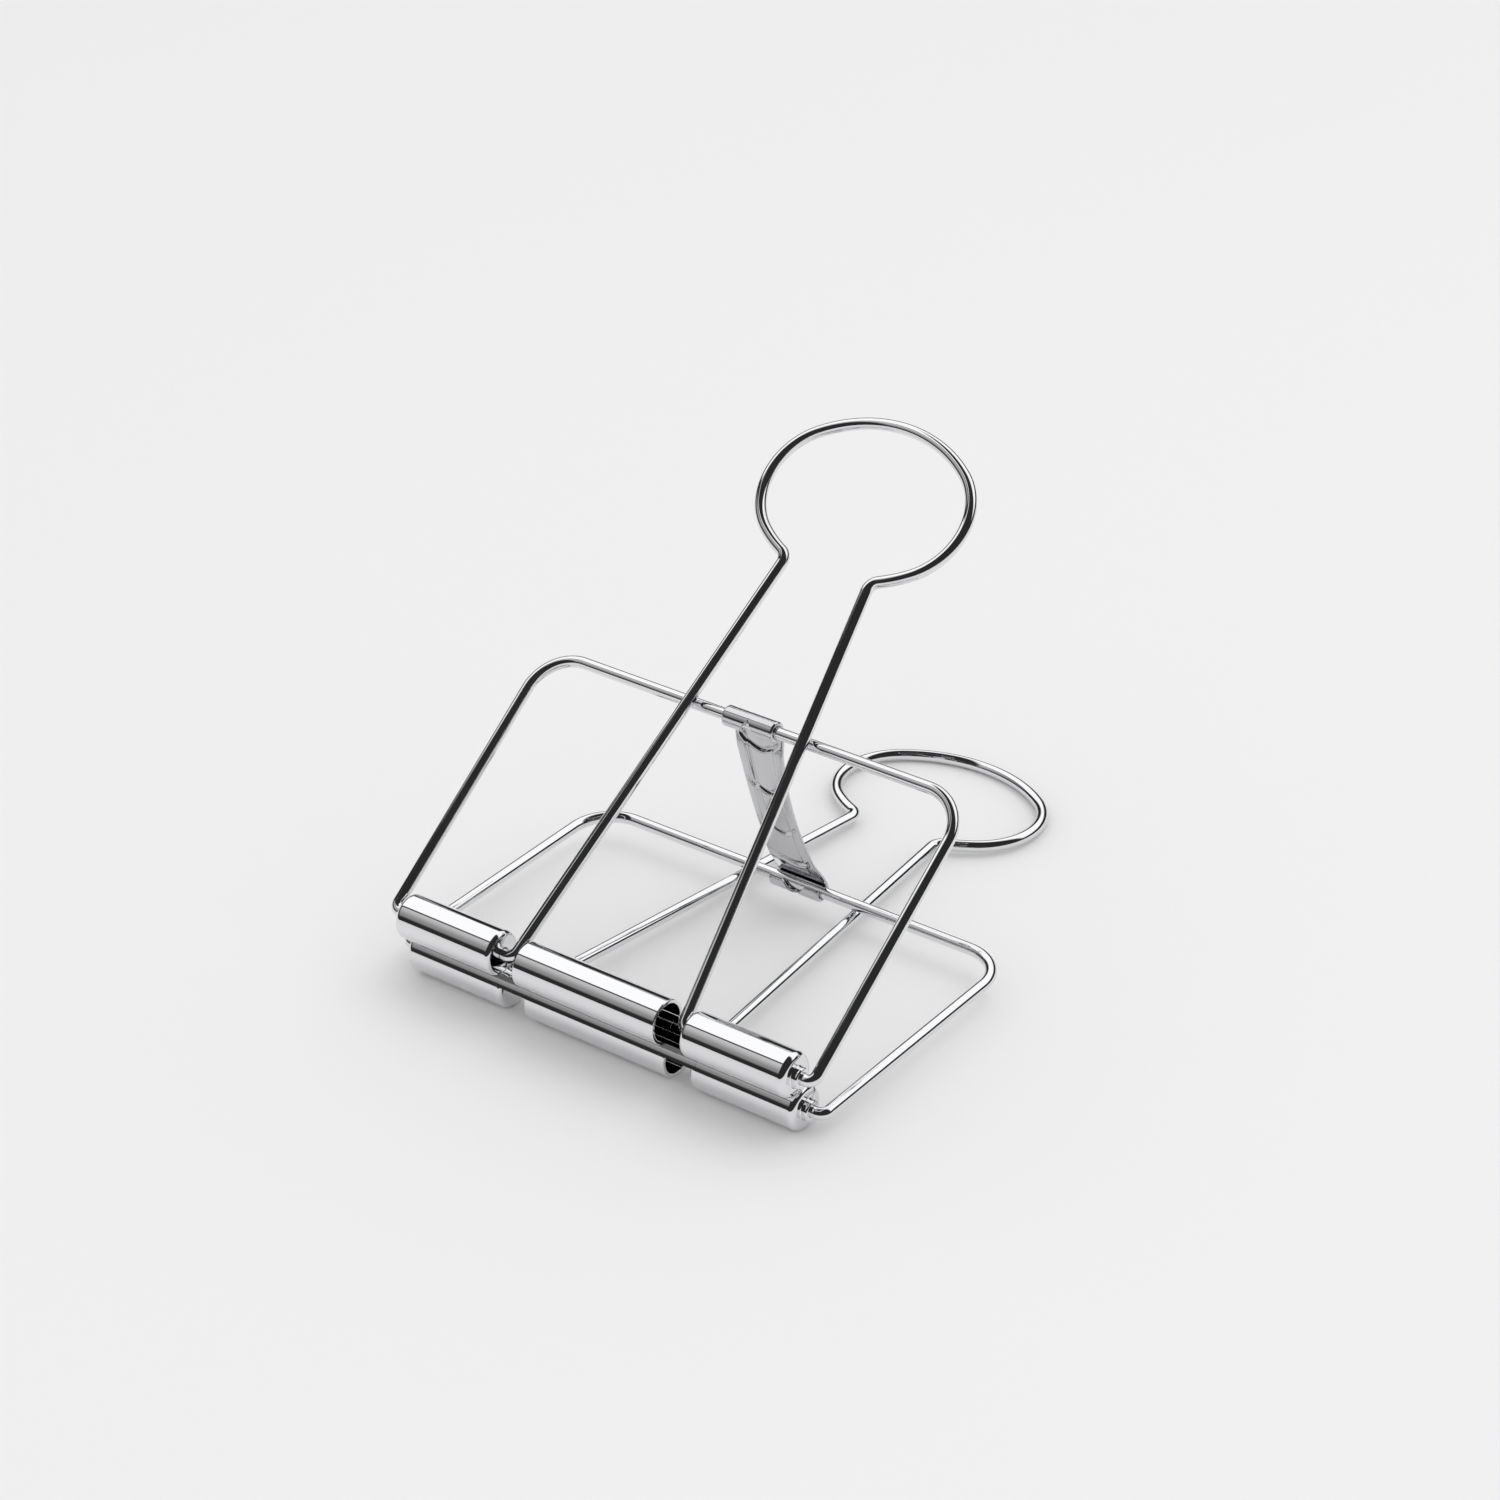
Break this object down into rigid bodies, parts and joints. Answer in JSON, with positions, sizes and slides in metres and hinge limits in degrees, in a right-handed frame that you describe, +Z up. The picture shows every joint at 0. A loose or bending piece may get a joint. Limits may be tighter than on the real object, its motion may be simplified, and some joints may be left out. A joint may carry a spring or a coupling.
{
  "type": "binder clip",
  "caption": "Open wire-frame binder clip: bent-wire frames joined by a sheet spine spring, rolled jaw tubes and folding keyhole handles.",
  "frame": {"origin": "bottom centre of the bounding box, on the surface the clip lies on", "axes": "+Z up, +Y from the mouth towards the spine and the handle loops, +X along the jaw"},
  "size_m": [0.0512, 0.067, 0.046],
  "materials": {
    "plated_wire": "bright nickel-chrome plating on drawn spring wire",
    "plated_sheet": "bright nickel-chrome plating on rolled sheet",
    "spring_sheet": "plated spring sheet, slightly softer shine"
  },
  "bodies": {
    "lower_side": {"lower_frame": "plated_wire", "lower_jaw": "plated_sheet", "spine_spring": "spring_sheet"},
    "upper_side": {"upper_frame": "plated_wire", "upper_jaw": "plated_sheet"},
    "upper_grip": {"upper_handle": "plated_wire"},
    "lower_grip": {"lower_handle": "plated_wire"}
  },
  "joints": [
    {"name": "jaw_open", "type": "hinge", "parent": "lower_side", "child": "upper_side", "pos_m": [0, -0.00344, 0.01341], "axis": [-1, 0, 0], "range_deg": [0, 40], "stiffness_Nm_per_rad": 0.5, "springref_deg": -20.05, "deforming": ["spine_spring"]},
    {"name": "upper_handle_fold", "type": "hinge", "parent": "upper_side", "child": "upper_grip", "pos_m": [0, -0.03121, 0.00662], "axis": [1, 0, 0], "range_deg": [0, 160]},
    {"name": "lower_handle_fold", "type": "hinge", "parent": "lower_side", "child": "lower_grip", "pos_m": [0, -0.02976, 0.00225], "axis": [-1, 0, 0], "range_deg": [0, 160]}
  ]
}
